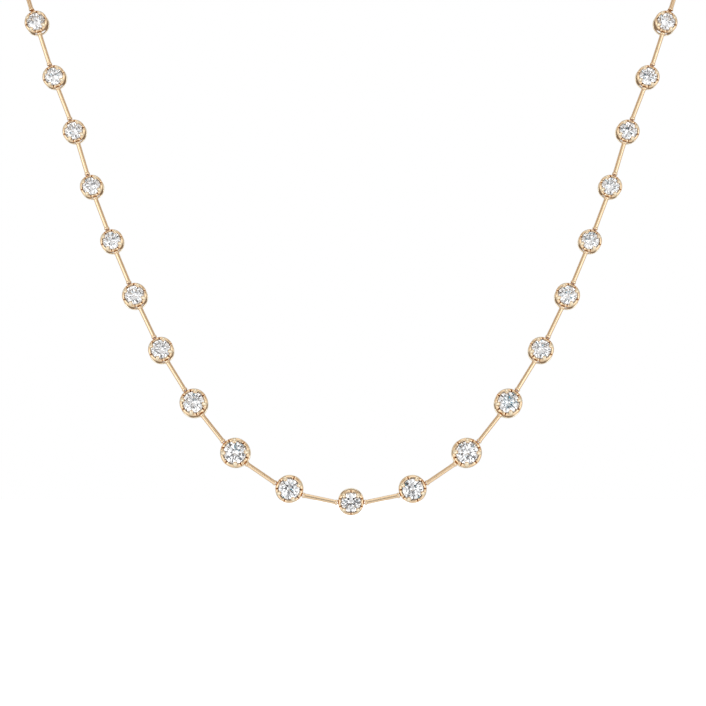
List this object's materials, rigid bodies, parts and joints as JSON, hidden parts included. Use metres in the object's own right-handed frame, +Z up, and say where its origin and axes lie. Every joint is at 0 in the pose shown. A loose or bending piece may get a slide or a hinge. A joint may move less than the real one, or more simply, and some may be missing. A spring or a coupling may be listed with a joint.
{
  "type": "riviere necklace",
  "caption": "Graduated round brilliants in claw settings, joined by slim bar links into a neck loop; the largest hang at the front and a barrel clasp closes it at the nape.",
  "frame": {"origin": "the nape mount: the point where the inside of the clasp rests on the back of the neck", "axes": "+X to the wearer's left, the right of the picture; the front of the necklace faces -Y; +Z up"},
  "size_m": [0.1272, 0.082, 0.1309],
  "materials": {
    "gold": "polished rose-tinted yellow gold",
    "diamond": "clear, cut and polished"
  },
  "bodies": {
    "root": {"setting_center": "gold", "setting_left_1": "gold", "setting_left_2": "gold", "setting_left_3": "gold", "setting_left_4": "gold", "setting_left_5": "gold", "setting_left_6": "gold", "setting_left_7": "gold", "setting_left_8": "gold", "setting_left_9": "gold", "setting_left_10": "gold", "setting_right_1": "gold", "setting_right_2": "gold", "setting_right_3": "gold", "setting_right_4": "gold", "setting_right_5": "gold", "setting_right_6": "gold", "setting_right_7": "gold", "setting_right_8": "gold", "setting_right_9": "gold", "setting_right_10": "gold", "stone_center": "diamond", "stone_left_1": "diamond", "stone_left_2": "diamond", "stone_left_3": "diamond", "stone_left_4": "diamond", "stone_left_5": "diamond", "stone_left_6": "diamond", "stone_left_7": "diamond", "stone_left_8": "diamond", "stone_left_9": "diamond", "stone_left_10": "diamond", "stone_right_1": "diamond", "stone_right_2": "diamond", "stone_right_3": "diamond", "stone_right_4": "diamond", "stone_right_5": "diamond", "stone_right_6": "diamond", "stone_right_7": "diamond", "stone_right_8": "diamond", "stone_right_9": "diamond", "stone_right_10": "diamond", "front_bars": "gold", "back_settings": "gold", "back_stones": "diamond", "back_bars": "gold", "clasp": "gold"}
  },
  "joints": []
}
